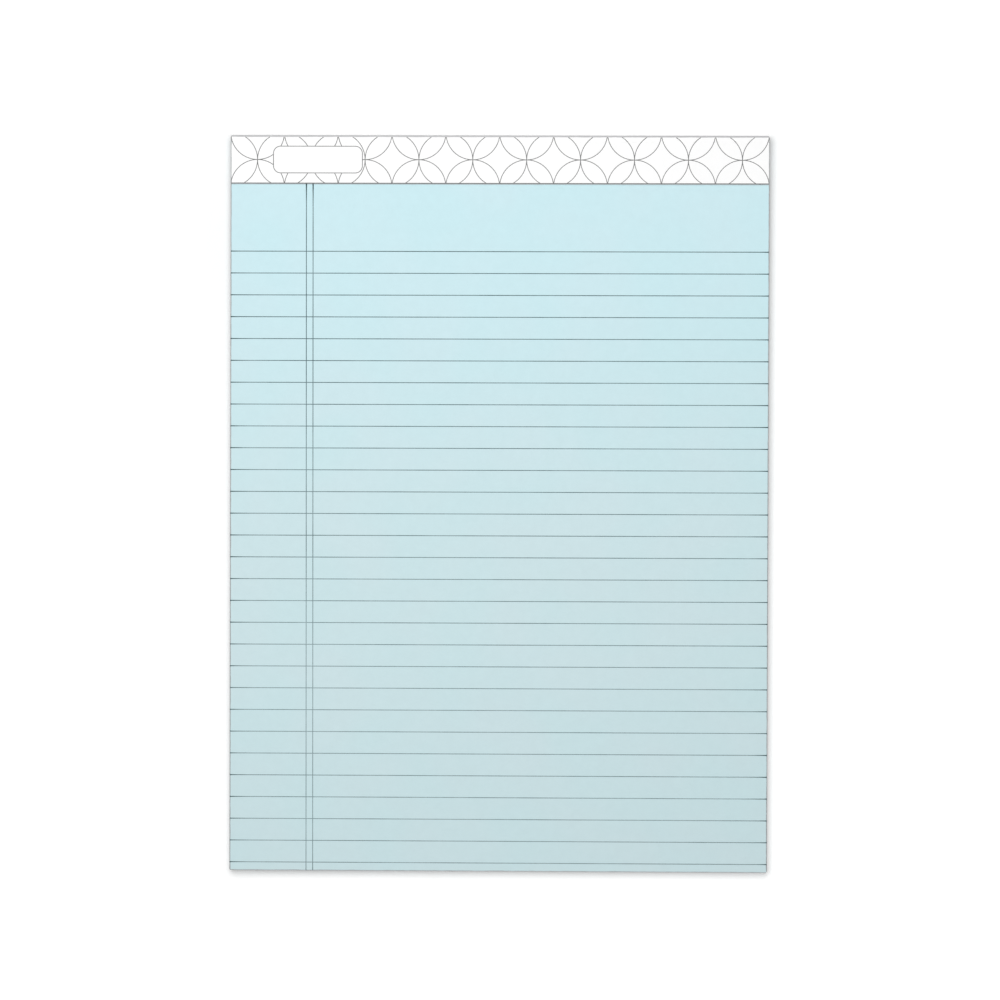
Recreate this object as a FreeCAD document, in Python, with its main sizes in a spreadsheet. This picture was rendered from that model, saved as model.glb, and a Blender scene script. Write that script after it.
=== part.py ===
import FreeCAD, Part
import math
import os

import Sketcher

# A letter-size legal pad, lying on its back, in millimetres. The origin is the middle of the back,
# +X points to the right of the ruled face, +Y to the bound head and +Z up out of the top sheet.
#
# Fifty sheets lie on a chipboard back. Wire staples go through both near the head, and one strip of
# paper tape is folded round the head, from the front over the staples to the back. The sheets are
# ruled with level lines and a double margin line, and the tape's front is printed with rings and a
# bare label frame. Print is modelled as thin bars that lie on the paper.

# Every size that can be chosen by itself. The sheet called sizes holds them under these names.
SIZES = {
    # the whole pad, with its tape
    "pad_width": 215.9,
    "pad_length": 295.3,
    # the sheets, and the fine gap that shows between two of them at their cut edges
    "sheet_count": 50,
    "sheet_thickness": 0.1,
    "leaf_gap": 0.02,
    "leaf_gap_depth": 0.15,
    # the chipboard back
    "board_thickness": 0.8,
    # the paper tape: how far it comes down the front and the back, and its fold over the head
    "tape_thickness": 0.12,
    "front_flap": 19.3,
    "back_flap": 22,
    "fold_radius": 0.6,
    # the staples: crown between the legs' middles, wire, bends, and the gap that is left between the
    # ends of the legs, which are turned in under the board
    "staple_count": 3,
    "staple_spacing": 76,
    "staple_inset": 9.5,
    "crown_width": 13,
    "wire_diameter": 0.45,
    "bend_radius": 0.5,
    "clinch_gap": 4,
    "wire_clearance": 0.02,
    # the ruling: level lines counted down from the tape, and two margin lines
    "ink_thickness": 0.02,
    "rule_width": 0.25,
    "first_rule_drop": 27.1,
    "rule_pitch": 8.77,
    "rule_foot_clearance": 2,
    "margin_inset": 31.75,
    "margin_gap": 2.68,
    # the tape's print: rows of overlapping rings, a rounded frame that is left bare for a label, and
    # a border line at the tape's lower edge
    "border_width": 0.4,
    "print_line": 0.3,
    "ring_pitch": 21.6,
    "label_inset": 17,
    "label_length": 36,
    "label_height": 11,
    "label_corner": 3,
}

# Places that several pieces share, worked out from those sizes
LEFT = "(-sizes.pad_width / 2)"
RIGHT = "(sizes.pad_width / 2)"
FOOT = "(-sizes.pad_length / 2)"
HEAD = "(sizes.pad_length / 2)"
HEAD_FACE = f"({HEAD} - sizes.tape_thickness)"
TAPE_FRONT_EDGE = f"({HEAD} - sizes.front_flap)"
TAPE_BACK_EDGE = f"({HEAD} - sizes.back_flap)"
STAPLE_LINE = f"({HEAD} - sizes.staple_inset)"
BACK = "0"
BOARD_TOP = "sizes.board_thickness"
SHEETS_TOP = f"({BOARD_TOP} + sizes.sheet_count * sizes.sheet_thickness)"
TAPE_TOP = f"({SHEETS_TOP} + sizes.tape_thickness)"
INNER_FOLD = "(sizes.fold_radius - sizes.tape_thickness)"
FIRST_STAPLE = "(-(sizes.staple_count - 1) * sizes.staple_spacing / 2)"
HALF_SLOT = "(sizes.wire_diameter / 2 + sizes.wire_clearance)"

# How far a cut's outline reaches past the solid that it cuts
PAST_EDGE = "1"

doc = FreeCAD.newDocument("legal_pad")
sizes = doc.addObject("Spreadsheet::Sheet", "sizes")
for row, (alias, value) in enumerate(SIZES.items(), start=1):
    sizes.set(f"A{row}", alias)
    sizes.set(f"B{row}", str(value))
    sizes.setAlias(f"B{row}", alias)
doc.recompute()


# Sketches

def sketch_on(body, role, name, height="0"):
    """Starts a sketch on one of the body's own base planes, raised along its normal."""
    sketch = body.newObject("Sketcher::SketchObject", name)
    plane = next(f for f in body.Origin.OriginFeatures if f.Role == role)
    sketch.AttachmentSupport = (plane, [""])
    sketch.MapMode = "FlatFace"
    sketch.setExpression("AttachmentOffset.Base.z", height)
    return sketch


def tie(sketch, kind, geometry, point, place):
    """Ties a point's place along the sketch's own x or y to an expression."""
    value = float(sketch.evalExpression(place))
    index = sketch.addConstraint(Sketcher.Constraint(kind, -1, 1, geometry, point, value))
    sketch.setExpression(f"Constraints[{index}]", place)


def draw_lines(sketch, places, rounds=None, ends=None):
    """Draws level and upright lines in turn, and an arc at each corner that has a radius.

    places holds the x of each upright line and the y of each level one. With ends, the places along
    the first and last line where the path starts and stops, the first line is level and the path is
    open. Without, the first line is upright and the outline is closed.
    rounds gives the radius of the corner that follows a line, by that line's number."""
    rounds = rounds or {}
    base = sketch.GeometryCount
    count = len(places)
    value = [float(sketch.evalExpression(place)) for place in places]
    upright = [(i % 2 == 0) == (ends is None) for i in range(count)]

    def corner(i):
        j = (i + 1) % count
        x, y = (value[i], value[j]) if upright[i] else (value[j], value[i])
        return FreeCAD.Vector(x, y, 0)

    points = [corner(i) for i in range(count)]
    starts = [points[i - 1] for i in range(count)]
    if ends:
        first, last = (float(sketch.evalExpression(end)) for end in ends)
        starts[0] = FreeCAD.Vector(first, value[0], 0)
        points[-1] = FreeCAD.Vector(last, value[-1], 0)
    way = [(points[i] - starts[i]).normalize() for i in range(count)]
    radius = {i: float(sketch.evalExpression(r)) for i, r in rounds.items()}

    for i in range(count):
        start = starts[i] + way[i] * radius.get((i - 1) % count, 0)
        stop = points[i] - way[i] * radius.get(i, 0)
        line = sketch.addGeometry(Part.LineSegment(start, stop), False)
        sketch.addConstraint(Sketcher.Constraint("Vertical" if upright[i] else "Horizontal", line))
        tie(sketch, "DistanceX" if upright[i] else "DistanceY", line, 1, places[i])
    for i in range(count if ends is None else count - 1):
        j = (i + 1) % count
        line, following = base + i, base + j
        if i in rounds:
            round_corner(sketch, line, following, points[i], way[i], way[j], radius[i], rounds[i])
        else:
            sketch.addConstraint(Sketcher.Constraint("Coincident", line, 2, following, 1))
    if ends:
        tie(sketch, "DistanceX", base, 1, ends[0])
        tie(sketch, "DistanceX", base + count - 1, 2, ends[1])


def round_corner(sketch, line, following, corner, way_in, way_out, radius, radius_place):
    """Joins two lines of a sketch by an arc that is tangent to both."""
    left_turn = way_in.cross(way_out).z > 0
    middle = corner - way_in * radius + way_out * radius
    first, last = (-way_out, way_in) if left_turn else (way_in, -way_out)
    start = math.atan2(first.y, first.x)
    stop = math.atan2(last.y, last.x)
    circle = Part.Circle(middle, FreeCAD.Vector(0, 0, 1), radius)
    arc = sketch.addGeometry(Part.ArcOfCircle(circle, start, stop), False)
    near, far = (1, 2) if left_turn else (2, 1)
    sketch.addConstraint(Sketcher.Constraint("Tangent", line, 2, arc, near))
    sketch.addConstraint(Sketcher.Constraint("Tangent", arc, far, following, 1))
    index = sketch.addConstraint(Sketcher.Constraint("Radius", arc, radius))
    sketch.setExpression(f"Constraints[{index}]", radius_place)


def draw_box(sketch, left, right, low, high, corner=None):
    """Draws a rectangle, with rounded corners if they have a radius."""
    draw_lines(sketch, [left, high, right, low], {i: corner for i in range(4)} if corner else None)


def draw_circle(sketch, x, y, radius):
    """Draws a circle."""
    values = [float(sketch.evalExpression(place)) for place in (x, y, radius)]
    centre = FreeCAD.Vector(values[0], values[1], 0)
    circle = sketch.addGeometry(Part.Circle(centre, FreeCAD.Vector(0, 0, 1), values[2]), False)
    tie(sketch, "DistanceX", circle, 3, x)
    tie(sketch, "DistanceY", circle, 3, y)
    index = sketch.addConstraint(Sketcher.Constraint("Radius", circle, values[2]))
    sketch.setExpression(f"Constraints[{index}]", radius)


# Features

def new_body(name):
    """Starts a piece. Its name is the name of its file."""
    body = doc.addObject("PartDesign::Body", name)
    body.Label = name
    return body


def pad(body, sketch, name, length, symmetric=False):
    """Raises a sketch into a solid."""
    feature = body.newObject("PartDesign::Pad", name)
    feature.Profile = sketch
    feature.SideType = "Symmetric" if symmetric else "One side"
    feature.setExpression("Length", length)
    return feature


def pocket(body, sketch, name, length, upwards=False):
    """Cuts a sketch out of the solid, downwards from it unless told otherwise."""
    feature = body.newObject("PartDesign::Pocket", name)
    feature.Profile = sketch
    feature.SideType = "One side"
    feature.Reversed = upwards
    feature.setExpression("Length", length)
    return feature


def repeat(body, features, name, axis, count, spacing, backwards=False):
    """Repeats features of the body in a line."""
    doc.recompute()
    pattern = body.newObject("PartDesign::LinearPattern", name)
    pattern.Originals = features
    direction = next(f for f in body.Origin.OriginFeatures if f.Role == axis)
    pattern.Direction = (direction, [""])
    pattern.Reversed = backwards
    pattern.Mode = "Spacing"
    pattern.setExpression("Offset", spacing)
    pattern.setExpression("Occurrences", count)
    body.Tip = pattern
    return pattern


def wire(body, kind, name, middle, clearance="0"):
    """Sweeps a staple's wire, or the way that it takes, round its crown, legs and clinched ends."""
    radius = f"(sizes.wire_diameter / 2 + {clearance})"
    low = "(sizes.tape_thickness + sizes.wire_diameter / 2)"
    high = f"({SHEETS_TOP} - sizes.wire_diameter / 2)"
    left = f"({middle} - sizes.crown_width / 2)"
    right = f"({middle} + sizes.crown_width / 2)"
    left_tip = f"({middle} - sizes.clinch_gap / 2 + {clearance})"
    right_tip = f"({middle} + sizes.clinch_gap / 2 - {clearance})"

    path = sketch_on(body, "XZ_Plane", f"{name}_path", f"-{STAPLE_LINE}")
    bends = {corner: "sizes.bend_radius" for corner in range(4)}
    draw_lines(path, [low, left, high, right, low], bends, ends=(left_tip, right_tip))
    section = sketch_on(body, "YZ_Plane", f"{name}_section", left_tip)
    draw_circle(section, STAPLE_LINE, low, radius)
    sweep = body.newObject(f"PartDesign::{kind}Pipe", name)
    sweep.Profile = section
    sweep.Spine = (path, [])
    return sweep


# Pieces

def ruled_sheets():
    """The sheets as one solid. Fine gaps on the three open sides part one leaf from the next."""
    body = new_body("ruled_sheets")
    side = sketch_on(body, "YZ_Plane", "sheets_side")
    draw_lines(side, [FOOT, SHEETS_TOP, HEAD_FACE, BOARD_TOP], {1: INNER_FOLD})
    pad(body, side, "sheets_block", "sizes.pad_width", symmetric=True)

    gap_foot = f"({BOARD_TOP} + sizes.sheet_thickness - sizes.leaf_gap / 2)"
    rim = sketch_on(body, "XY_Plane", "leaf_gap_rim", gap_foot)
    past_left = f"({LEFT} - {PAST_EDGE})"
    past_head = f"({HEAD} + {PAST_EDGE})"
    past_right = f"({RIGHT} + {PAST_EDGE})"
    past_foot = f"({FOOT} - {PAST_EDGE})"
    inside_left = f"({LEFT} + sizes.leaf_gap_depth)"
    inside_foot = f"({FOOT} + sizes.leaf_gap_depth)"
    inside_right = f"({RIGHT} - sizes.leaf_gap_depth)"
    draw_lines(
        rim,
        [past_left, past_head, inside_left, inside_foot, inside_right, past_head, past_right, past_foot],
    )
    gap = pocket(body, rim, "leaf_gap", "sizes.leaf_gap", upwards=True)
    repeat(body, [gap], "leaf_gaps", "Z_Axis", "sizes.sheet_count - 1", "sizes.sheet_thickness")

    way = wire(body, "Subtractive", "wire_way", FIRST_STAPLE, "sizes.wire_clearance")
    slot = sketch_on(body, "XY_Plane", "crown_slot_outline", SHEETS_TOP)
    draw_box(
        slot,
        f"({FIRST_STAPLE} - sizes.crown_width / 2 - {HALF_SLOT})",
        f"({FIRST_STAPLE} + sizes.crown_width / 2 + {HALF_SLOT})",
        f"({STAPLE_LINE} - {HALF_SLOT})",
        f"({STAPLE_LINE} + {HALF_SLOT})",
    )
    crown_slot = pocket(body, slot, "crown_slot", "sizes.wire_diameter / 2")
    repeat(
        body, [way, crown_slot], "wire_ways", "X_Axis", "sizes.staple_count", "sizes.staple_spacing"
    )
    return body


def back_board():
    """The chipboard. It is nipped thinner under the tape's back flap, so the back is one flat face."""
    body = new_body("back_board")
    side = sketch_on(body, "YZ_Plane", "board_side")
    places = [FOOT, BOARD_TOP, HEAD_FACE, "sizes.tape_thickness", TAPE_BACK_EDGE, BACK]
    draw_lines(side, places, {2: INNER_FOLD})
    pad(body, side, "board_block", "sizes.pad_width", symmetric=True)

    way = wire(body, "Subtractive", "clinch_way", FIRST_STAPLE, "sizes.wire_clearance")
    slots = sketch_on(body, "XY_Plane", "clinch_slot_outlines", "sizes.tape_thickness")
    left_leg = f"({FIRST_STAPLE} - sizes.crown_width / 2 - {HALF_SLOT})"
    left_tip = f"({FIRST_STAPLE} - sizes.clinch_gap / 2 + sizes.wire_clearance)"
    right_tip = f"({FIRST_STAPLE} + sizes.clinch_gap / 2 - sizes.wire_clearance)"
    right_leg = f"({FIRST_STAPLE} + sizes.crown_width / 2 + {HALF_SLOT})"
    low, high = f"({STAPLE_LINE} - {HALF_SLOT})", f"({STAPLE_LINE} + {HALF_SLOT})"
    draw_box(slots, left_leg, left_tip, low, high)
    draw_box(slots, right_tip, right_leg, low, high)
    clinch_slots = pocket(body, slots, "clinch_slots", "sizes.wire_diameter / 2", upwards=True)
    repeat(
        body, [way, clinch_slots], "clinch_ways", "X_Axis", "sizes.staple_count",
        "sizes.staple_spacing",
    )
    return body


def header_tape():
    """One strip of tape: a front flap, a fold over the head, and a back flap."""
    body = new_body("header_tape")
    side = sketch_on(body, "YZ_Plane", "tape_side")
    places = [
        TAPE_BACK_EDGE, "sizes.tape_thickness", HEAD_FACE, SHEETS_TOP,
        TAPE_FRONT_EDGE, TAPE_TOP, HEAD, BACK,
    ]
    folds = {1: INNER_FOLD, 2: INNER_FOLD, 5: "sizes.fold_radius", 6: "sizes.fold_radius"}
    draw_lines(side, places, folds)
    pad(body, side, "tape_strip", "sizes.pad_width", symmetric=True)
    return body


def staple(number):
    """One wire staple. The wire is drawn about the middle and the body is moved along the head."""
    body = new_body(f"staple_{number}")
    wire(body, "Additive", f"staple_wire_{number}", "0")
    body.setExpression("Placement.Base.x", f"{FIRST_STAPLE} + {number - 1} * sizes.staple_spacing")
    return body


def sheet_ruling():
    """The top sheet's print: level lines from edge to edge, tied together by two margin lines."""
    body = new_body("sheet_ruling")
    first_rule = f"({TAPE_FRONT_EDGE} - sizes.first_rule_drop)"
    rule_box = sketch_on(body, "XY_Plane", "rule_outline", SHEETS_TOP)
    draw_box(
        rule_box, LEFT, RIGHT,
        f"({first_rule} - sizes.rule_width / 2)", f"({first_rule} + sizes.rule_width / 2)",
    )
    rule = pad(body, rule_box, "rule", "sizes.ink_thickness")

    margins = sketch_on(body, "XY_Plane", "margin_outlines", SHEETS_TOP)
    for side in ("-", "+"):
        middle = f"({LEFT} + sizes.margin_inset {side} sizes.margin_gap / 2)"
        draw_box(
            margins, f"({middle} - sizes.rule_width / 2)", f"({middle} + sizes.rule_width / 2)",
            FOOT, TAPE_FRONT_EDGE,
        )
    pad(body, margins, "margin_lines", "sizes.ink_thickness")

    ruled_length = "(sizes.pad_length - sizes.front_flap - sizes.first_rule_drop)"
    count = f"floor(({ruled_length} - sizes.rule_foot_clearance) / sizes.rule_pitch) + 1"
    repeat(body, [rule], "rules", "Y_Axis", count, "sizes.rule_pitch", backwards=True)
    return body


def header_print():
    """The tape's print: three rows of overlapping rings, a bare label frame and a border line."""
    body = new_body("header_print")
    top = f"({TAPE_TOP} + sizes.ink_thickness)"
    middle = f"({HEAD} - sizes.front_flap / 2)"

    # The middle row stands on the tape's mid line. The rows above and below it are half a ring
    # across and half a ring along from it, so that each ring crosses its four neighbours.
    whole_rings = "floor(sizes.pad_width / sizes.ring_pitch)"
    half_ring = "(sizes.ring_pitch / 2)"
    rows = {
        "middle": (f"({whole_rings} + 1)", middle),
        "upper": (whole_rings, f"({middle} + {half_ring})"),
        "lower": (whole_rings, f"({middle} - {half_ring})"),
    }
    for row, (steps, level) in rows.items():
        first = f"(-{steps} * {half_ring})"
        outline = sketch_on(body, "XY_Plane", f"{row}_ring_outline", TAPE_TOP)
        draw_circle(outline, first, level, f"({half_ring} + sizes.print_line / 2)")
        draw_circle(outline, first, level, f"({half_ring} - sizes.print_line / 2)")
        ring = pad(body, outline, f"{row}_ring", "sizes.ink_thickness")
        repeat(body, [ring], f"{row}_rings", "X_Axis", f"{steps} + 1", "sizes.ring_pitch")

    frame_outer = label_box("0")
    cleared = sketch_on(body, "XY_Plane", "label_clearing", top)
    draw_box(cleared, *frame_outer)
    pocket(body, cleared, "label_place", "sizes.ink_thickness")
    frame = sketch_on(body, "XY_Plane", "label_frame_outline", TAPE_TOP)
    draw_box(frame, *frame_outer)
    draw_box(frame, *label_box("sizes.print_line"))
    pad(body, frame, "label_frame", "sizes.ink_thickness")

    border_box = sketch_on(body, "XY_Plane", "border_outline", TAPE_TOP)
    draw_box(
        border_box, LEFT, RIGHT, TAPE_FRONT_EDGE, f"({TAPE_FRONT_EDGE} + sizes.border_width)"
    )
    pad(body, border_box, "border", "sizes.ink_thickness")

    trim = sketch_on(body, "XY_Plane", "print_trim_outline", top)
    draw_box(trim, LEFT, RIGHT, TAPE_FRONT_EDGE, f"({HEAD} - sizes.fold_radius)")
    draw_box(
        trim, f"({LEFT} - sizes.ring_pitch)", f"({RIGHT} + sizes.ring_pitch)",
        f"({TAPE_FRONT_EDGE} - sizes.ring_pitch)", f"({HEAD} + sizes.ring_pitch)",
    )
    pocket(body, trim, "print_trim", "sizes.ink_thickness")
    return body


def label_box(inset):
    """The label frame's left, right, low and high place and its corner radius, moved inwards."""
    left = f"({LEFT} + sizes.label_inset + {inset})"
    right = f"({LEFT} + sizes.label_inset + sizes.label_length - {inset})"
    middle = f"{HEAD} - sizes.front_flap / 2"
    low = f"({middle} - sizes.label_height / 2 + {inset})"
    high = f"({middle} + sizes.label_height / 2 - {inset})"
    return left, right, low, high, f"(sizes.label_corner - {inset})"


pieces = [ruled_sheets(), back_board(), header_tape(), sheet_ruling(), header_print()]
pieces += [staple(number) for number in range(1, int(sizes.staple_count) + 1)]
doc.recompute()

for item in doc.Objects:
    if "Invalid" in item.State or "Error" in item.State:
        raise RuntimeError(f"{item.Name} failed: {item.State}")

os.makedirs("parts", exist_ok=True)
for piece in pieces:
    shape = piece.Shape
    if shape.isNull() or not shape.isValid() or not shape.Solids:
        raise RuntimeError(f"{piece.Label} has no valid solid")
    shape.exportStep(f"parts/{piece.Label}.step")
    print(f"{piece.Label}: {len(shape.Solids)} solid(s), {shape.Volume:.2f} mm3")
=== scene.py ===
"""Looks for the legal pad: its leaves, tape, board, print and light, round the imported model.

Everything is in metres, in the model's own frame. The origin is the middle of the pad's back, +X is
to the right of the ruled face, +Y is to the bound head and +Z is up.
"""

import math
import random

import bmesh
import bpy
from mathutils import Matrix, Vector, noise


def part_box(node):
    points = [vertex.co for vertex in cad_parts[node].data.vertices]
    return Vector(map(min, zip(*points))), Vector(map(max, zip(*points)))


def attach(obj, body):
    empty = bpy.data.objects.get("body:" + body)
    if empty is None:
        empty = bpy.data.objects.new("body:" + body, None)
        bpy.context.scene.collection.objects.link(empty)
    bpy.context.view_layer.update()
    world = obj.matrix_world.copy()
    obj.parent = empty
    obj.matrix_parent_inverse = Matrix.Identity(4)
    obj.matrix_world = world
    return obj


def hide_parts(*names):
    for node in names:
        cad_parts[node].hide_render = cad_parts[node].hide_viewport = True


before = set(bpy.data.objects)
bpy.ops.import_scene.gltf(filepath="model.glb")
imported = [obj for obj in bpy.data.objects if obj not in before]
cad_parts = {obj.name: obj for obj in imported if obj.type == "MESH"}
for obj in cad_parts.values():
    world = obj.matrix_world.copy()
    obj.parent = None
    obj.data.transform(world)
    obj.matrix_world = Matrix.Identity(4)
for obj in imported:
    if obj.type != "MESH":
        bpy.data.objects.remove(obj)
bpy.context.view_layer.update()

MM = 0.001
SEED = 11

# Places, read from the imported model
TAPE_LOW, TAPE_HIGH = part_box("header_tape")
SHEETS_LOW, SHEETS_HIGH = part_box("ruled_sheets")
PRINT_LOW, PRINT_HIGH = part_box("header_print")
LEFT, RIGHT = TAPE_LOW.x, TAPE_HIGH.x
FOOT, HEAD = SHEETS_LOW.y, TAPE_HIGH.y
HEAD_FACE = SHEETS_HIGH.y
TAPE_EDGE = PRINT_LOW.y
BACK_EDGE = TAPE_LOW.y
BOARD_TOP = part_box("back_board")[1].z
SHEETS_TOP = SHEETS_HIGH.z
TAPE_TOP = PRINT_LOW.z
TAPE_THICKNESS = HEAD - HEAD_FACE
FOLD_RADIUS = HEAD - PRINT_HIGH.y
INNER_FOLD = FOLD_RADIUS - TAPE_THICKNESS

# The tape doesn't hug the head quite tightly
FOLD_SLACK = 0.15 * MM
TAPE_HEAD = HEAD + FOLD_SLACK

# Two places closer than this are the same
SAME_PLACE = 0.01 * MM


def line_centres(node, along, at):
    """The middles of a node's bars, from where their ends meet the edge of the sheet."""
    across = 1 - along
    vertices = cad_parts[node].data.vertices
    ends = {round(v.co[across], 6) for v in vertices if abs(v.co[along] - at) < SAME_PLACE}
    ends = sorted(ends)
    return [(low + high) / 2 for low, high in zip(ends[::2], ends[1::2])]


STAPLES = sorted(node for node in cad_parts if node.startswith("staple_"))
RULES = line_centres("sheet_ruling", along=0, at=LEFT)
MARGINS = line_centres("sheet_ruling", along=1, at=FOOT)
RULE_PITCH = (RULES[-1] - RULES[0]) / (len(RULES) - 1)
RULE_WIDTH = 0.25 * MM

# The leaves. A cut stack widens a little downwards, and its leaves don't line up exactly.
LEAF_COUNT = 50
LEAF_PITCH = (SHEETS_TOP - BOARD_TOP) / LEAF_COUNT
LEAF_THICKNESS = 0.86 * LEAF_PITCH
STACK_SPREAD = 0.12 * MM
LEAF_SLIP = 0.035 * MM
KNIFE_WAVE = 0.03 * MM
KNIFE_WAVES_PER_METRE = 180
LEFT_CUT, RIGHT_CUT, FOOT_CUT = -1, 1, 3
CORNER_RADIUS = 0.45 * MM
TAPE_CORNER_RADIUS = 0.8 * MM
EDGE_STEP = 2.4 * MM
HIDDEN_STEP = 7 * MM
CORNER_STEPS = [0, 0.12 * MM, 0.25 * MM, 0.45 * MM, 0.8 * MM]
FOLD_STEPS = 8
SHARP_ANGLE = 30

# How the uppermost leaves lift off the stack: a faint wave, and the two foot corners
LIFTED_LEAVES = 4
WAVE_HEIGHT = 0.05 * MM
WAVE_LENGTH = 70 * MM
FLAT_BY_TAPE = 12 * MM
CORNER_LIFTS = [(RIGHT, 0.09 * MM, 38 * MM), (LEFT, 0.05 * MM, 30 * MM)]

# The ruling's ink spreads a little beyond the bars of the model, and most at the cut edges
INK_SPREAD = 0.035 * MM
KNOT_SPREAD = 0.1 * MM
KNOT_LENGTH = 0.7 * MM

# The margin lines are printed a little out of square, and their ink is thick by the tape
MARGIN_LEAN = 0.0015
LEAN_FADE = 10 * MM
TAPE_INK_SPREAD = 0.13 * MM
TAPE_INK_LENGTH = 3 * MM

# The line of fine slots under the tape, where a sheet tears off
SLOT_DROP = 0.45 * MM
SLOT_HEIGHT = 0.1 * MM
SLOT_SHARE = 0.62
SLOTS_PER_COLUMN = 3


# Shapes

def smooth(value):
    """A smooth step from 0 to 1."""
    value = min(max(value, 0.0), 1.0)
    return value * value * (3 - 2 * value)


def soften(x, y, head, radius):
    """Moves a point of the plain rectangle on to one whose corners are a little rounded."""
    side = min(x - LEFT, RIGHT - x)
    end = min(y - FOOT, head - y)
    if side >= radius or end >= radius:
        return x, y
    across, along = radius - side, radius - end
    reach = max(across, along) / math.hypot(across, along)
    x_sign = 1 if x > 0 else -1
    y_sign = 1 if head - y < y - FOOT else -1
    return x - x_sign * across * (1 - reach), y - y_sign * along * (1 - reach)


def places(low, high, step):
    """Places from low to high, evenly spaced apart from a few fine steps at both ends."""
    inner_low, inner_high = low + CORNER_STEPS[-1], high - CORNER_STEPS[-1]
    count = round((inner_high - inner_low) / step)
    inner = [inner_low + (inner_high - inner_low) * i / count for i in range(1, count)]
    return [low + s for s in CORNER_STEPS] + inner + [high - s for s in reversed(CORNER_STEPS)]


def lift(x, y):
    """How far the top sheet lies above the flat stack."""
    free = smooth((TAPE_EDGE - y) / FLAT_BY_TAPE)
    wave = noise.noise(Vector((x / WAVE_LENGTH, y / WAVE_LENGTH, SEED)))
    height = WAVE_HEIGHT * (0.5 + 0.5 * wave)
    for corner_x, corner_lift, reach in CORNER_LIFTS:
        distance = math.hypot(x - corner_x, y - FOOT)
        height += corner_lift * math.exp(-(distance / reach) ** 2)
    return free * height


def add_piece(name, vertices, faces, materials, replaced):
    """Makes a mesh that stands in for a node. Each face is (vertex numbers, material number)."""
    mesh = bpy.data.meshes.new(name)
    mesh.from_pydata(vertices, [], [numbers for numbers, _ in faces])
    for material in materials:
        mesh.materials.append(material)
    for polygon, (_, index) in zip(mesh.polygons, faces):
        polygon.material_index = index
    mesh.validate()
    piece = bpy.data.objects.new(name, mesh)
    bpy.context.scene.collection.objects.link(piece)
    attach(piece, "root")
    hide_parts(replaced)
    return piece


def thicken(points, faces, height, thickness, first=0):
    """Turns a flat cell pattern into a closed plate. Its outer and inner rims get material 1."""
    count = len(points)
    vertices = [(x, y, height(x, y)) for x, y in points]
    vertices += [(x, y, height(x, y) - thickness) for x, y in points]
    edges = {(a, b) for face in faces for a, b in zip(face, face[1:] + face[:1])}
    solid = [([first + i for i in face], 0) for face in faces]
    solid += [([first + count + i for i in reversed(face)], 0) for face in faces]
    for a, b in sorted(edges):
        if (b, a) not in edges:
            rim = [first + b, first + a, first + count + a, first + count + b]
            solid.append((rim, 1))
    return vertices, solid


def knife(x, y, cut):
    """How far an edge stands out at a place. Each cut has its own line, the same for all leaves."""
    place = Vector((x * KNIFE_WAVES_PER_METRE, y * KNIFE_WAVES_PER_METRE, cut))
    return KNIFE_WAVE * noise.noise(place)


def head_of_leaf(top):
    """Where a leaf ends under the tape's fold."""
    above = max(0.0, top - (SHEETS_TOP - INNER_FOLD))
    return HEAD_FACE - INNER_FOLD + math.sqrt(INNER_FOLD ** 2 - min(above, INNER_FOLD) ** 2)


def leaf_outline(head, spread, slip, turn):
    """One leaf's cut edge, as points that run round it to the left."""
    xs = places(LEFT, RIGHT, EDGE_STEP)
    ys = places(FOOT, head, EDGE_STEP)
    ring = [(x, FOOT) for x in xs[:-1]] + [(RIGHT, y) for y in ys[:-1]]
    ring += [(x, head) for x in xs[:0:-1]] + [(LEFT, y) for y in ys[:0:-1]]
    points = []
    for x, y in ring:
        x, y = soften(x, y, head, CORNER_RADIUS)
        out_x = spread + knife(0, y, RIGHT_CUT if x > 0 else LEFT_CUT)
        out_y = spread + knife(x, 0, FOOT_CUT)
        if abs(x) > RIGHT - CORNER_RADIUS:
            x += math.copysign(out_x, x)
        if y < FOOT + CORNER_RADIUS:
            y -= out_y
        under_tape = smooth((y - TAPE_EDGE) / FLAT_BY_TAPE)
        x, y = x - turn * y, y + turn * x
        points.append((x + slip[0] * (1 - under_tape), y + min(slip[1], 0)))
    return points


def build_stack(paper, edge):
    """All leaves but the top one, each a closed plate of its own."""
    rng = random.Random(SEED)
    vertices, faces = [], []
    for number in range(LEAF_COUNT - 1):
        top = BOARD_TOP + (number + 1) * LEAF_PITCH
        depth = LEAF_COUNT - 1 - number
        share = max(0.0, 1 - depth / LIFTED_LEAVES)
        spread = STACK_SPREAD * depth / LEAF_COUNT
        slip = rng.gauss(0, LEAF_SLIP), rng.gauss(0, LEAF_SLIP)
        turn = rng.gauss(0, LEAF_SLIP) / (RIGHT - LEFT)
        head = head_of_leaf(top)
        if share:
            points, cells = sheet_cells(head, HIDDEN_STEP)
            points = [(x * (1 + spread / RIGHT), y) for x, y in points]
        else:
            points = leaf_outline(head, spread, slip, turn)
            cells = [list(range(len(points)))]
        plate = thicken(
            points, cells, lambda x, y: top + share * lift(x, y), LEAF_THICKNESS, len(vertices)
        )
        vertices += plate[0]
        faces += plate[1]
    add_piece("leaf_stack", vertices, faces, [paper, edge], "ruled_sheets")


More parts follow.
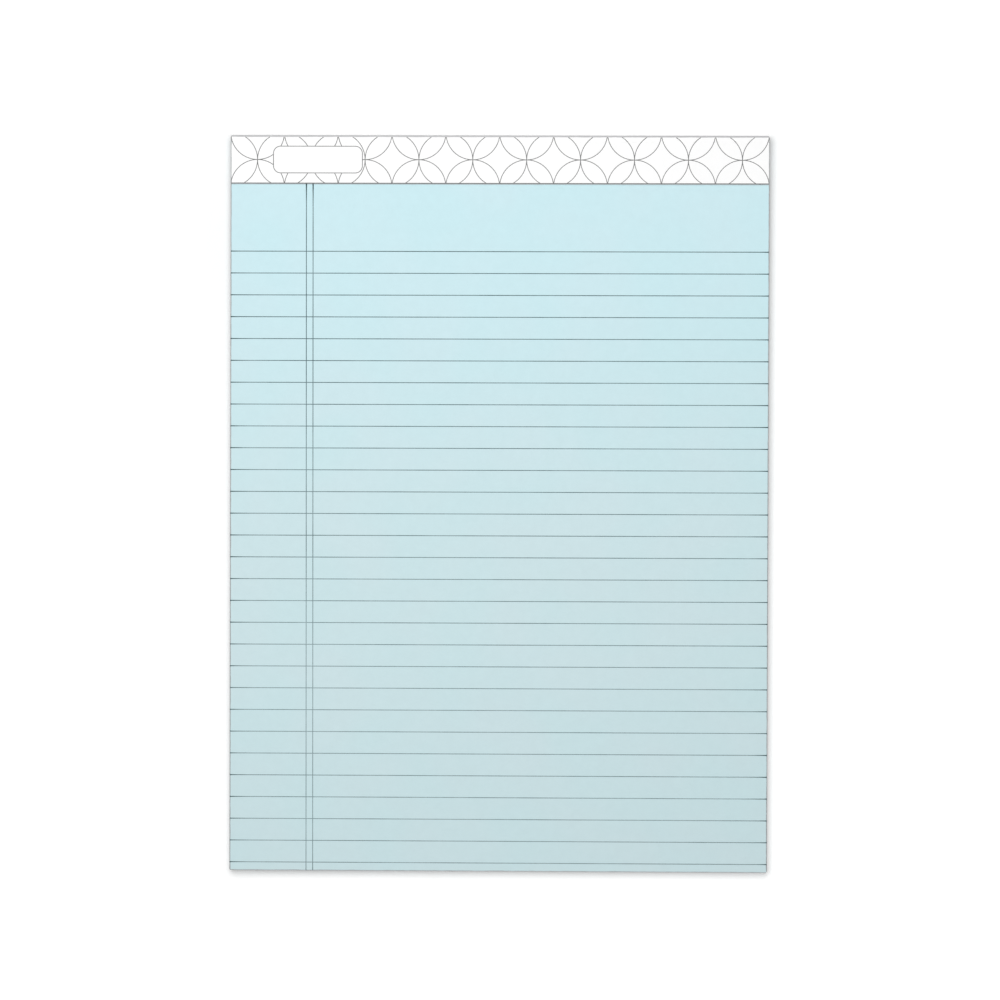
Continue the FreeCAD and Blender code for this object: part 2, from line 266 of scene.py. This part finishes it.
def sheet_cells(head, step, slots=False):
    """A leaf's cell pattern: a plain grid, with a line of slots if asked."""
    xs = places(LEFT, RIGHT, step)
    ys = places(FOOT, head, step)
    slot_low = TAPE_EDGE - SLOT_DROP - SLOT_HEIGHT
    slot_row = None
    if slots:
        ys = [y for y in ys if abs(y - slot_low) > step / 2]
        slot_row = next(i for i, y in enumerate(ys) if y > slot_low) - 1
    points = [soften(x, y, head, CORNER_RADIUS) for y in ys for x in xs]
    width = len(xs)
    cells = []
    for row in range(len(ys) - 1):
        for column in range(width - 1):
            a = row * width + column
            if row == slot_row:
                cells += slotted_cells(points, xs, column, a, a + width, slot_low)
            else:
                cells.append([a, a + 1, a + 1 + width, a + width])
    return points, cells


def slotted_cells(points, xs, column, low_left, high_left, slot_low):
    """One column of the row that holds the slots. Its neighbours share its side points."""
    first, last = len(CORNER_STEPS) - 1, len(xs) - len(CORNER_STEPS) - 1
    if not first <= column <= last:
        return [[low_left, low_left + 1, high_left + 1, high_left]]
    left, right = xs[column], xs[column + 1]
    pitch = (right - left) / SLOTS_PER_COLUMN
    low, high = [], []
    for i in range(SLOTS_PER_COLUMN):
        middle = left + (i + 0.5) * pitch
        for x in (middle - pitch * SLOT_SHARE / 2, middle + pitch * SLOT_SHARE / 2):
            low.append(len(points))
            points.append((x, slot_low))
            high.append(len(points))
            points.append((x, slot_low + SLOT_HEIGHT))
    cells = [[low_left, low_left + 1] + low[::-1]]
    cells.append([high_left + 1, high_left] + high)
    cells.append([low_left, low[0], high[0], high_left])
    cells.append([low[-1], low_left + 1, high_left + 1, high[-1]])
    for i in range(1, len(low) - 1, 2):
        cells.append([low[i], low[i + 1], high[i + 1], high[i]])
    return cells


def build_top_sheet(paper, edge):
    """The first leaf, with its line of slots under the tape."""
    points, cells = sheet_cells(head_of_leaf(SHEETS_TOP), EDGE_STEP, slots=True)
    vertices, faces = thicken(
        points, cells, lambda x, y: SHEETS_TOP + lift(x, y), LEAF_THICKNESS
    )
    smooth_shade(
        add_piece("top_sheet", vertices, faces, [paper, edge], "ruled_sheets")
    )


def smooth_shade(piece):
    """Shades a piece smoothly, apart from its true edges."""
    for polygon in piece.data.polygons:
        polygon.use_smooth = True
    piece.data.set_sharp_from_angle(angle=math.radians(SHARP_ANGLE))


def margin_lean(y):
    """How far the margin lines stand to the right of their place at the tape."""
    return MARGIN_LEAN * (TAPE_EDGE - y)


def build_ruling(ink):
    """The print on the top sheet: the model's own bars, laid on the sheet's wave."""
    mesh = bmesh.new()
    mesh.from_mesh(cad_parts["sheet_ruling"].data)
    bmesh.ops.remove_doubles(mesh, verts=mesh.verts, dist=0.001 * MM)
    for axis, low, high in ((0, LEFT, RIGHT), (1, FOOT, TAPE_EDGE)):
        normal = Vector((1 - axis, axis, 0))
        for place in places(low, high, EDGE_STEP)[1:-1]:
            cut = mesh.verts[:] + mesh.edges[:] + mesh.faces[:]
            bmesh.ops.bisect_plane(mesh, geom=cut, plane_co=normal * place, plane_no=normal)
    vertices = []
    for vertex in mesh.verts:
        x, y, z = vertex.co
        rule = min(RULES, key=lambda place: abs(place - y))
        margin = min(MARGINS, key=lambda place: abs(place - x))
        to_end = min(RIGHT - abs(x), y - FOOT)
        spread = INK_SPREAD + KNOT_SPREAD * math.exp(-max(to_end, 0) / KNOT_LENGTH)
        if abs(y - rule) < RULE_WIDTH:
            y += math.copysign(spread, y - rule)
        if abs(x - margin) < RULE_WIDTH:
            by_tape = TAPE_INK_SPREAD * math.exp((y - TAPE_EDGE) / TAPE_INK_LENGTH)
            x += math.copysign(spread + by_tape, x - margin)
        x += margin_lean(y) * smooth((RIGHT - abs(x)) / LEAN_FADE)
        vertices.append((x, y, z + lift(x, y)))
    mesh.verts.index_update()
    faces = [([v.index for v in face.verts], 0) for face in mesh.faces]
    mesh.free()
    add_piece("ruling", vertices, faces, [ink], "sheet_ruling")


def arc(centre_y, centre_z, radius, start, stop):
    """Points of an arc in the pad's side view, from one angle to another, in degrees."""
    turn = (stop - start) / FOLD_STEPS
    angles = [math.radians(start + turn * i) for i in range(FOLD_STEPS + 1)]
    return [(centre_y + radius * math.cos(a), centre_z + radius * math.sin(a)) for a in angles]


def run_to_fold(start, fold_y):
    """Places along a flap of the tape, from its edge to just before the fold."""
    return [start + (fold_y - start) * i / FOLD_STEPS for i in range(FOLD_STEPS)]


def build_tape(paper):
    """The tape, as its side view swept along the head."""
    fold_y = TAPE_HEAD - FOLD_RADIUS
    low_z = TAPE_LOW.z + FOLD_RADIUS
    high_z = TAPE_TOP - FOLD_RADIUS
    flap = run_to_fold(TAPE_EDGE, fold_y)
    back = run_to_fold(BACK_EDGE, fold_y)
    side = [(y, TAPE_LOW.z) for y in back]
    side += arc(fold_y, low_z, FOLD_RADIUS, -90, 0)
    side += arc(fold_y, high_z, FOLD_RADIUS, 0, 90)
    side += [(y, TAPE_TOP) for y in reversed(flap)]
    side += [(y, TAPE_TOP - TAPE_THICKNESS) for y in flap]
    side += arc(fold_y, high_z, INNER_FOLD, 90, 0)
    side += arc(fold_y, low_z, INNER_FOLD, 0, -90)
    side += [(y, TAPE_LOW.z + TAPE_THICKNESS) for y in reversed(back)]
    xs = places(LEFT, RIGHT, EDGE_STEP)
    ring = len(side)
    vertices = []
    for x in xs:
        for y, z in side:
            soft_x, soft_y = soften(x, y, TAPE_HEAD, TAPE_CORNER_RADIUS)
            vertices.append((soft_x, soft_y, z))
    faces = []
    for column in range(len(xs) - 1):
        for i in range(ring):
            j = (i + 1) % ring
            a, b = column * ring + i, column * ring + j
            faces.append(([a, b, b + ring, a + ring], 0))
    faces.append((list(range(ring))[::-1], 0))
    faces.append((list(range(len(vertices) - ring, len(vertices))), 0))
    smooth_shade(add_piece("binding_tape", vertices, faces, [paper], "header_tape"))


# Materials

class Graph:
    """A material's node tree, with short calls for the nodes that these materials use."""

    def __init__(self, name):
        self.material = bpy.data.materials.new(name)
        self.material.use_nodes = True
        self.tree = self.material.node_tree
        self.tree.nodes.clear()
        self.place = self.add("ShaderNodeTexCoord").outputs["Object"]

    def add(self, kind, settings=None, **inputs):
        """Adds a node. Each input is named as its socket is, with _ for a space."""
        made = self.tree.nodes.new(kind)
        for key, value in (settings or {}).items():
            setattr(made, key, value)
        for key, value in inputs.items():
            self.feed(made.inputs[key.replace("_", " ")], value)
        return made

    def feed(self, socket, value):
        """Sets a socket to a value, or links it to another socket."""
        if isinstance(value, bpy.types.NodeSocket):
            self.tree.links.new(value, socket)
        else:
            socket.default_value = value

    def math(self, operation, *values, clamp=False):
        """A sum of numbers or sockets."""
        made = self.add("ShaderNodeMath", {"operation": operation, "use_clamp": clamp})
        for socket, value in zip(made.inputs, values):
            self.feed(socket, value)
        return made.outputs[0]

    def scale(self, vector, factors):
        """A place with its x, y and z each multiplied."""
        made = self.add("ShaderNodeVectorMath", {"operation": "MULTIPLY"})
        self.feed(made.inputs[0], vector)
        self.feed(made.inputs[1], factors)
        return made.outputs[0]

    def noise(self, size, detail=2.0, roughness=0.5, stretch=(1, 1, 1)):
        """Noise whose blots are about size metres across, from 0 to 1."""
        place = self.scale(self.place, stretch)
        made = self.add("ShaderNodeTexNoise", Vector=place, Scale=1 / size, Detail=detail)
        self.feed(made.inputs["Roughness"], roughness)
        return made.outputs["Fac"]

    def span(self, value, low, high, to_low=0.0, to_high=1.0, smooth_step=False):
        """Maps a value from one range to another, and stops at its ends."""
        settings = {"interpolation_type": "SMOOTHSTEP" if smooth_step else "LINEAR"}
        made = self.add("ShaderNodeMapRange", settings)
        for socket, number in zip(made.inputs, (value, low, high, to_low, to_high)):
            self.feed(socket, number)
        return made.outputs["Result"]

    def mix(self, factor, first, second, blend="MIX"):
        """Mixes two colours."""
        made = self.add("ShaderNodeMix", {"data_type": "RGBA", "blend_type": blend})
        for socket, value in zip((made.inputs[0], *made.inputs[6:8]), (factor, first, second)):
            self.feed(socket, value)
        return made.outputs[2]

    def axes(self):
        """The place's x, y and z."""
        return self.add("ShaderNodeSeparateXYZ", Vector=self.place).outputs

    def bump(self, height, depth):
        """A normal from a height of 0 to 1 that stands for depth metres."""
        return self.add("ShaderNodeBump", Height=height, Distance=depth, Strength=1.0).outputs[0]

    def finish(self, **inputs):
        """Adds the shader and the output, and returns the material."""
        shader = self.add("ShaderNodeBsdfPrincipled", **inputs)
        self.add("ShaderNodeOutputMaterial", Surface=shader.outputs[0])
        return self.material


def grey(level):
    """A plain grey."""
    return (level, level, level, 1.0)


# Two paper colours, bluer at the head and greyer from GREYED to the foot. It turns from the first
# to the second between the tape and GREYED.
PAPER_HEAD = (0.61, 0.82, 0.87, 1.0)
PAPER_FOOT = (0.62, 0.78, 0.81, 1.0)
GREYED = -45 * MM

# The paper's clouds: wide ones that tint it, and small ones that shade it
PAPER_COOL = (0.930, 1.0, 1.0, 1.0)
PAPER_WARM = (1.0, 0.985, 0.99, 1.0)
TINT_SHARE = 0.35
TINT_SIZE = 26 * MM
CLOUD_SIZE = 3.5 * MM

# Painted shade: a thin grey line round the pad's face, along the cut edges and the tape's fold
EDGE_SHADE_GREY = (0.38, 0.40, 0.41, 1.0)
FOLD_SHADE_GREY = (0.52, 0.52, 0.53, 1.0)
RIM_WIDTH = 0.33 * MM
# The painted edge shade is narrower by these at the right side and at the foot
EDGE_SHADE_LESS_RIGHT = 0.15 * MM
EDGE_SHADE_LESS_FOOT = 0.06 * MM
RIM_FADE = 0.12 * MM
RIM_RAGGED = 0.06 * MM

# The painted shadow on the sheet just under the tape's edge: full up to the first place, gone at
# the second
TAPE_SHADE = (0.2 * MM, 0.42 * MM)
TAPE_SHADE_SHARE = 0.75

# The painted shade along the fold, and how far down the head's face it fades out
FOLD_SHADE = 0.4 * MM
FOLD_SHADE_DOWN = (0.4 * MM, 1.8 * MM)
FOLD_SHADE_GONE = 1.2 * MM

# The ruling's ink. On the cut edges, its ends are ticks as wide as these places, and slip with
# the leaves.
RULE_INK = (0.045, 0.085, 0.095, 1.0)
TICK_FADE = (0.3 * MM, 0.1 * MM)
TICK_SLIP = 0.35 * MM
TICK_SHARE = 0.45

BOARD_DARK = (0.245, 0.205, 0.160, 1.0)
BOARD_PALE = (0.330, 0.285, 0.228, 1.0)
BOARD_FIBRE = (0.52, 0.47, 0.39, 1.0)
FLECK_SIZE = 2.6 * MM
FLECK_DARK = (0.07, 0.065, 0.06, 1.0)
FLECK_PALE = (0.62, 0.60, 0.55, 1.0)


def paper_colour(graph):
    """The blue paper: cloudy like real paper, and a little greyer towards the foot."""
    x, y, z = graph.axes()
    greyed = graph.span(y, TAPE_EDGE, GREYED, smooth_step=True)
    colour = graph.mix(greyed, PAPER_HEAD, PAPER_FOOT)
    tint = graph.span(graph.noise(TINT_SIZE, 1.0), 0.35, 0.65)
    colour = graph.mix(TINT_SHARE, colour, graph.mix(tint, PAPER_COOL, PAPER_WARM), "MULTIPLY")
    cloud = graph.span(graph.noise(CLOUD_SIZE, 4.0, 0.65), 0.3, 0.7, 0.975, 1.0)
    return graph.mix(1.0, colour, cloud, "MULTIPLY")


def from_sides(graph, x):
    """How far a place is from the nearer side. The right side counts as a little further off, so
    the painted edge shade is narrower there.
    """
    from_left = graph.math("SUBTRACT", x, LEFT)
    from_right = graph.math("SUBTRACT", RIGHT + EDGE_SHADE_LESS_RIGHT, x)
    return graph.math("MINIMUM", from_left, from_right)


def rim(graph, colour, nearest, shade_colour):
    """Paints grey shade over a colour close to an edge."""
    ragged = graph.span(graph.noise(4 * MM, 3.0, 0.6), 0.35, 0.65, -RIM_RAGGED, RIM_RAGGED)
    nearest = graph.math("ADD", nearest, ragged)
    amount = graph.span(nearest, RIM_WIDTH + RIM_FADE, RIM_WIDTH - RIM_FADE, smooth_step=True)
    return graph.mix(amount, colour, shade_colour)


def sheet_paper():
    """The face of a sheet, with a painted shade line round its edges and a painted shadow just
    under the tape's edge.
    """
    graph = Graph("sheet_paper")
    x, y, z = graph.axes()
    fibres = graph.noise(0.35 * MM, 5.0, 0.7)
    from_foot = graph.math("SUBTRACT", y, FOOT - EDGE_SHADE_LESS_FOOT)
    from_edge = graph.math("MINIMUM", from_sides(graph, x), from_foot)
    # Painted shade: a thin grey line along the sheet's cut edges
    colour = rim(graph, paper_colour(graph), from_edge, EDGE_SHADE_GREY)
    # Painted shadow of the tape's edge on the sheet
    to_tape = graph.math("SUBTRACT", TAPE_EDGE, y)
    by_tape = graph.span(to_tape, *TAPE_SHADE, TAPE_SHADE_SHARE, 0.0)
    colour = graph.mix(by_tape, colour, EDGE_SHADE_GREY)
    return graph.finish(
        Base_Color=colour, Roughness=0.88, Specular_IOR_Level=0.25,
        Normal=graph.bump(fibres, 0.012 * MM),
    )


def leaf_number(graph, z):
    """A whole number for each leaf of the stack."""
    above_board = graph.math("SUBTRACT", z, BOARD_TOP)
    return graph.math("FLOOR", graph.math("DIVIDE", above_board, LEAF_PITCH))


def sheet_edge():
    """The cut edges: leaves that differ a little, knife marks, and the ends of printed lines."""
    graph = Graph("sheet_edge")
    x, y, z = graph.axes()
    leaf = leaf_number(graph, z)
    white_noise = graph.add("ShaderNodeTexWhiteNoise", {"noise_dimensions": "1D"}, W=leaf)
    chance = white_noise.outputs["Value"]
    shade = graph.span(chance, 0.0, 1.0, 0.86, 1.0)
    colour = graph.mix(1.0, paper_colour(graph), shade, "MULTIPLY")
    marks = graph.noise(0.5 * MM, 3.0, 0.6, stretch=(1, 1, 0.02))
    colour = graph.mix(1.0, colour, graph.span(marks, 0.3, 0.7, 0.93, 1.0), "MULTIPLY")

    slip = graph.math("MULTIPLY", graph.math("SUBTRACT", chance, 0.5), TICK_SLIP)
    from_rule = graph.math("SUBTRACT", graph.math("ADD", y, slip), RULES[0])
    near_rule = graph.math("PINGPONG", from_rule, RULE_PITCH / 2)
    below_first = graph.math("LESS_THAN", y, RULES[-1] + RULE_PITCH / 4)
    on_side = graph.math("GREATER_THAN", graph.math("ABSOLUTE", x), RIGHT - 2 * CORNER_RADIUS)
    rule_end = graph.span(near_rule, *TICK_FADE)
    rule_end = graph.math("MULTIPLY", graph.math("MULTIPLY", rule_end, below_first), on_side)

    between = sum(MARGINS) / 2 + margin_lean(FOOT)
    half_gap = (MARGINS[1] - MARGINS[0]) / 2
    from_between = graph.math("SUBTRACT", graph.math("ADD", x, slip), between)
    near_margin = graph.math("SUBTRACT", graph.math("ABSOLUTE", from_between), half_gap)
    margin_end = graph.span(graph.math("ABSOLUTE", near_margin), *TICK_FADE)
    ends = graph.math("MAXIMUM", rule_end, margin_end)
    colour = graph.mix(graph.math("MULTIPLY", ends, TICK_SHARE), colour, RULE_INK)
    return graph.finish(
        Base_Color=colour, Roughness=0.95, Specular_IOR_Level=0.15,
        Normal=graph.bump(marks, 0.02 * MM),
    )


def ruling_ink():
    """The ruling's grey ink. It is heavier at the sides and by the tape, and thins to the foot."""
    graph = Graph("ruling_ink")
    x, y, z = graph.axes()
    down = graph.span(y, TAPE_EDGE, FOOT)
    coverage = graph.span(down, 0.1, 0.75, 0.93, 0.68)
    uneven = graph.span(graph.noise(17 * MM, 2.0, 0.6), 0.35, 0.65, -0.08, 0.08)
    grain = graph.span(graph.noise(0.3 * MM, 3.0, 0.7), 0.35, 0.65, -0.14, 0.06)
    to_side = graph.math("SUBTRACT", RIGHT, graph.math("ABSOLUTE", x))
    at_side = graph.span(to_side, 8 * MM, 0.2 * MM, 0.0, 0.3)
    to_tape = graph.math("SUBTRACT", TAPE_EDGE, y)
    by_tape = graph.span(to_tape, 7 * MM, 1.5 * MM, 0.0, 0.25)
    for part in (uneven, grain, at_side, by_tape):
        coverage = graph.math("ADD", coverage, part)
    coverage = graph.math("MINIMUM", graph.math("MAXIMUM", coverage, 0.0), 1.0)
    colour = graph.mix(coverage, paper_colour(graph), RULE_INK)
    return graph.finish(Base_Color=colour, Roughness=0.8, Specular_IOR_Level=0.2)


def tape_paper():
    """The white binding paper: smoother than the sheets, with painted shade along the fold and at
    the cut sides.
    """
    graph = Graph("tape_paper")
    x, y, z = graph.axes()
    cloud = graph.span(graph.noise(5 * MM, 4.0, 0.6), 0.3, 0.7, 0.0, 1.0)
    colour = graph.mix(cloud, grey(0.935), grey(0.955))
    # Painted shade along the tape's fold
    from_head = graph.math("SUBTRACT", TAPE_HEAD - FOLD_SHADE, y)
    down = graph.math("SUBTRACT", TAPE_TOP, z)
    down_face = graph.span(down, *FOLD_SHADE_DOWN, 0.0, FOLD_SHADE_GONE)
    from_fold = graph.math("ADD", from_head, down_face)
    colour = rim(graph, colour, from_fold, FOLD_SHADE_GREY)
    # Painted shade: a thin grey line along the tape's cut sides
    colour = rim(graph, colour, from_sides(graph, x), EDGE_SHADE_GREY)
    fibres = graph.noise(0.3 * MM, 4.0, 0.6)
    return graph.finish(
        Base_Color=colour, Roughness=0.62, Specular_IOR_Level=0.35,
        Normal=graph.bump(fibres, 0.006 * MM),
    )


def header_ink():
    """The header's thin grey print."""
    graph = Graph("header_ink")
    grain = graph.span(graph.noise(0.25 * MM, 3.0, 0.7), 0.3, 0.7)
    return graph.finish(
        Base_Color=graph.mix(grain, grey(0.12), grey(0.21)), Roughness=0.6, Specular_IOR_Level=0.3
    )


def chipboard():
    """The grey-brown recycled board: pulp clouds, flecks and short fibres."""
    graph = Graph("chipboard")
    cloud = graph.span(graph.noise(6 * MM, 5.0, 0.7), 0.3, 0.7)
    colour = graph.mix(cloud, BOARD_DARK, BOARD_PALE)
    fibres = graph.noise(1.1 * MM, 4.0, 0.7, stretch=(1, 0.25, 1))
    light = graph.span(fibres, 0.58, 0.70, 0.0, 0.5)
    colour = graph.mix(light, colour, BOARD_FIBRE)
    flecks = graph.add("ShaderNodeTexVoronoi", Vector=graph.place, Scale=1 / FLECK_SIZE)
    spot = graph.span(flecks.outputs["Distance"], 0.16, 0.10)
    chosen = graph.add("ShaderNodeSeparateColor", Color=flecks.outputs["Color"]).outputs
    dark = graph.math("MULTIPLY", spot, graph.math("GREATER_THAN", chosen[0], 0.72))
    pale = graph.math("MULTIPLY", spot, graph.math("GREATER_THAN", chosen[1], 0.86))
    colour = graph.mix(graph.math("MULTIPLY", dark, 0.7), colour, FLECK_DARK)
    colour = graph.mix(graph.math("MULTIPLY", pale, 0.6), colour, FLECK_PALE)
    pulp = graph.noise(0.5 * MM, 5.0, 0.7, stretch=(1, 0.4, 1))
    return graph.finish(
        Base_Color=colour, Roughness=0.92, Specular_IOR_Level=0.2,
        Normal=graph.bump(pulp, 0.05 * MM),
    )


def staple_wire():
    """Galvanised wire, drawn with fine lines along it."""
    graph = Graph("staple_wire")
    lines = graph.noise(0.12 * MM, 3.0, 0.6, stretch=(0.05, 1, 1))
    return graph.finish(
        Base_Color=graph.mix(lines, grey(0.48), grey(0.66)), Metallic=1.0,
        Roughness=graph.span(lines, 0.3, 0.7, 0.28, 0.42),
    )


# The camera, the lamp and the floor

# The photograph's width covers this much at the height of the top sheet. The camera stands a little
# to the right of the middle and to the head, and looks back at it.
PHOTO_WIDTH = 401.1 * MM
CAMERA_PLACE = (53.85 * MM, 43.14 * MM)
CAMERA_TURN = (-1.183, 1.531, 0.172)
CAMERA_HEIGHT = 2.0
SENSOR_WIDTH = 36.0

# A round lamp above the head's left, sized by the soft edge of the shadow in the photograph
LAMP_HEIGHT = 1.0
LAMP_OFFSET = (-0.10, 0.24)
LAMP_SIZE = 0.93
LAMP_POWER = 9.6
SKY_LEVEL = 0.26

# The floor looks white, apart from the shadow: within the first reach it is only lit and a little
# lifted, more to the right and to the foot, and beyond the second it is all white.
FLOOR_SIZE = 6.0
FLOOR_DROP = 0.02 * MM
FLOOR_WHITE = 0.96
FLOOR_UNSEEN = 0.8
FLOOR_LIFT = 0.122
FLOOR_LIFT_SLOPE = (0.43, -0.70)
SHADOW_REACH = (9 * MM, 40 * MM)


def build_camera():
    """Looks straight down on the sheet, with its head up, from as far as the lens needs."""
    camera = bpy.data.cameras.new("camera")
    camera.sensor_width = SENSOR_WIDTH
    camera.lens = SENSOR_WIDTH * CAMERA_HEIGHT / PHOTO_WIDTH
    camera.clip_start, camera.clip_end = 0.05, 50.0
    holder = bpy.data.objects.new("camera", camera)
    holder.location = (*CAMERA_PLACE, SHEETS_TOP + CAMERA_HEIGHT)
    holder.rotation_euler = [math.radians(angle) for angle in CAMERA_TURN]
    bpy.context.scene.collection.objects.link(holder)
    bpy.context.scene.camera = holder


def build_lamp():
    """The one soft lamp."""
    lamp = bpy.data.lights.new("lamp", "AREA")
    lamp.shape = "DISK"
    lamp.size = LAMP_SIZE
    lamp.energy = LAMP_POWER
    holder = bpy.data.objects.new("lamp", lamp)
    holder.location = (*LAMP_OFFSET, LAMP_HEIGHT)
    holder.visible_camera = False
    bpy.context.scene.collection.objects.link(holder)


def seen_directly(tree):
    """1 for rays that show the background itself, by eye, in gloss or through glass."""
    path = tree.nodes.new("ShaderNodeLightPath").outputs
    total = path["Is Camera Ray"]
    for name in ("Is Glossy Ray", "Is Transmission Ray"):
        either = tree.nodes.new("ShaderNodeMath")
        either.operation = "MAXIMUM"
        tree.links.new(total, either.inputs[0])
        tree.links.new(path[name], either.inputs[1])
        total = either.outputs[0]
    return total


def build_sky():
    """An even grey sky that looks white."""
    world = bpy.data.worlds.new("sky")
    world.use_nodes = True
    tree = world.node_tree
    background = tree.nodes["Background"]
    background.inputs["Color"].default_value = grey(1.0)
    strength = tree.nodes.new("ShaderNodeMapRange")
    tree.links.new(seen_directly(tree), strength.inputs["Value"])
    strength.inputs["To Min"].default_value = SKY_LEVEL
    strength.inputs["To Max"].default_value = 1.0
    tree.links.new(strength.outputs["Result"], background.inputs["Strength"])
    bpy.context.scene.world = world


def floor_paint():
    """White to the eye, apart from the pad's own shadow close round it."""
    graph = Graph("floor_paint")
    x, y, z = graph.axes()
    beside = graph.math("SUBTRACT", graph.math("ABSOLUTE", x), RIGHT)
    beyond = graph.math("SUBTRACT", graph.math("ABSOLUTE", y), HEAD)
    away = graph.math("MAXIMUM", graph.math("MAXIMUM", beside, beyond), 0.0)
    lift_x = graph.math("MULTIPLY", x, FLOOR_LIFT_SLOPE[0])
    lift_y = graph.math("MULTIPLY", y, FLOOR_LIFT_SLOPE[1])
    near_glow = graph.math("ADD", graph.math("ADD", lift_x, lift_y), FLOOR_LIFT)
    near_glow = graph.math("MAXIMUM", near_glow, 0.0)
    glow = graph.span(away, *SHADOW_REACH, near_glow, 1.0, smooth_step=True)
    lit = graph.add("ShaderNodeBsdfDiffuse", Color=grey(FLOOR_WHITE)).outputs[0]
    glowing = graph.add("ShaderNodeEmission", Color=grey(1.0), Strength=glow).outputs[0]
    shown = graph.add("ShaderNodeAddShader")
    graph.feed(shown.inputs[0], lit)
    graph.feed(shown.inputs[1], glowing)
    plain = graph.add("ShaderNodeBsdfDiffuse", Color=grey(FLOOR_UNSEEN)).outputs[0]
    either = graph.add("ShaderNodeMixShader")
    graph.feed(either.inputs[0], seen_directly(graph.tree))
    graph.feed(either.inputs[1], plain)
    graph.feed(either.inputs[2], shown.outputs[0])
    graph.add("ShaderNodeOutputMaterial", Surface=either.outputs[0])
    return graph.material


def build_floor():
    """A wide plain floor just under the pad."""
    half, z = FLOOR_SIZE / 2, -FLOOR_DROP
    corners = [(-half, -half, z), (half, -half, z), (half, half, z), (-half, half, z)]
    mesh = bpy.data.meshes.new("floor")
    mesh.from_pydata(corners, [], [(0, 1, 2, 3)])
    mesh.materials.append(floor_paint())
    floor = bpy.data.objects.new("floor", mesh)
    bpy.context.scene.collection.objects.link(floor)


def dress(node, material):
    """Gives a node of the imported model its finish."""
    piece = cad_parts[node]
    for place in piece.material_slots:
        place.material = material


build_camera()
paper, edge = sheet_paper(), sheet_edge()
build_stack(paper, edge)
build_top_sheet(paper, edge)
build_ruling(ruling_ink())
build_tape(tape_paper())
dress("header_print", header_ink())
dress("back_board", chipboard())
wire = staple_wire()
for node in STAPLES:
    dress(node, wire)
build_lamp()
build_sky()
build_floor()
bpy.context.scene.view_settings.view_transform = "Standard"
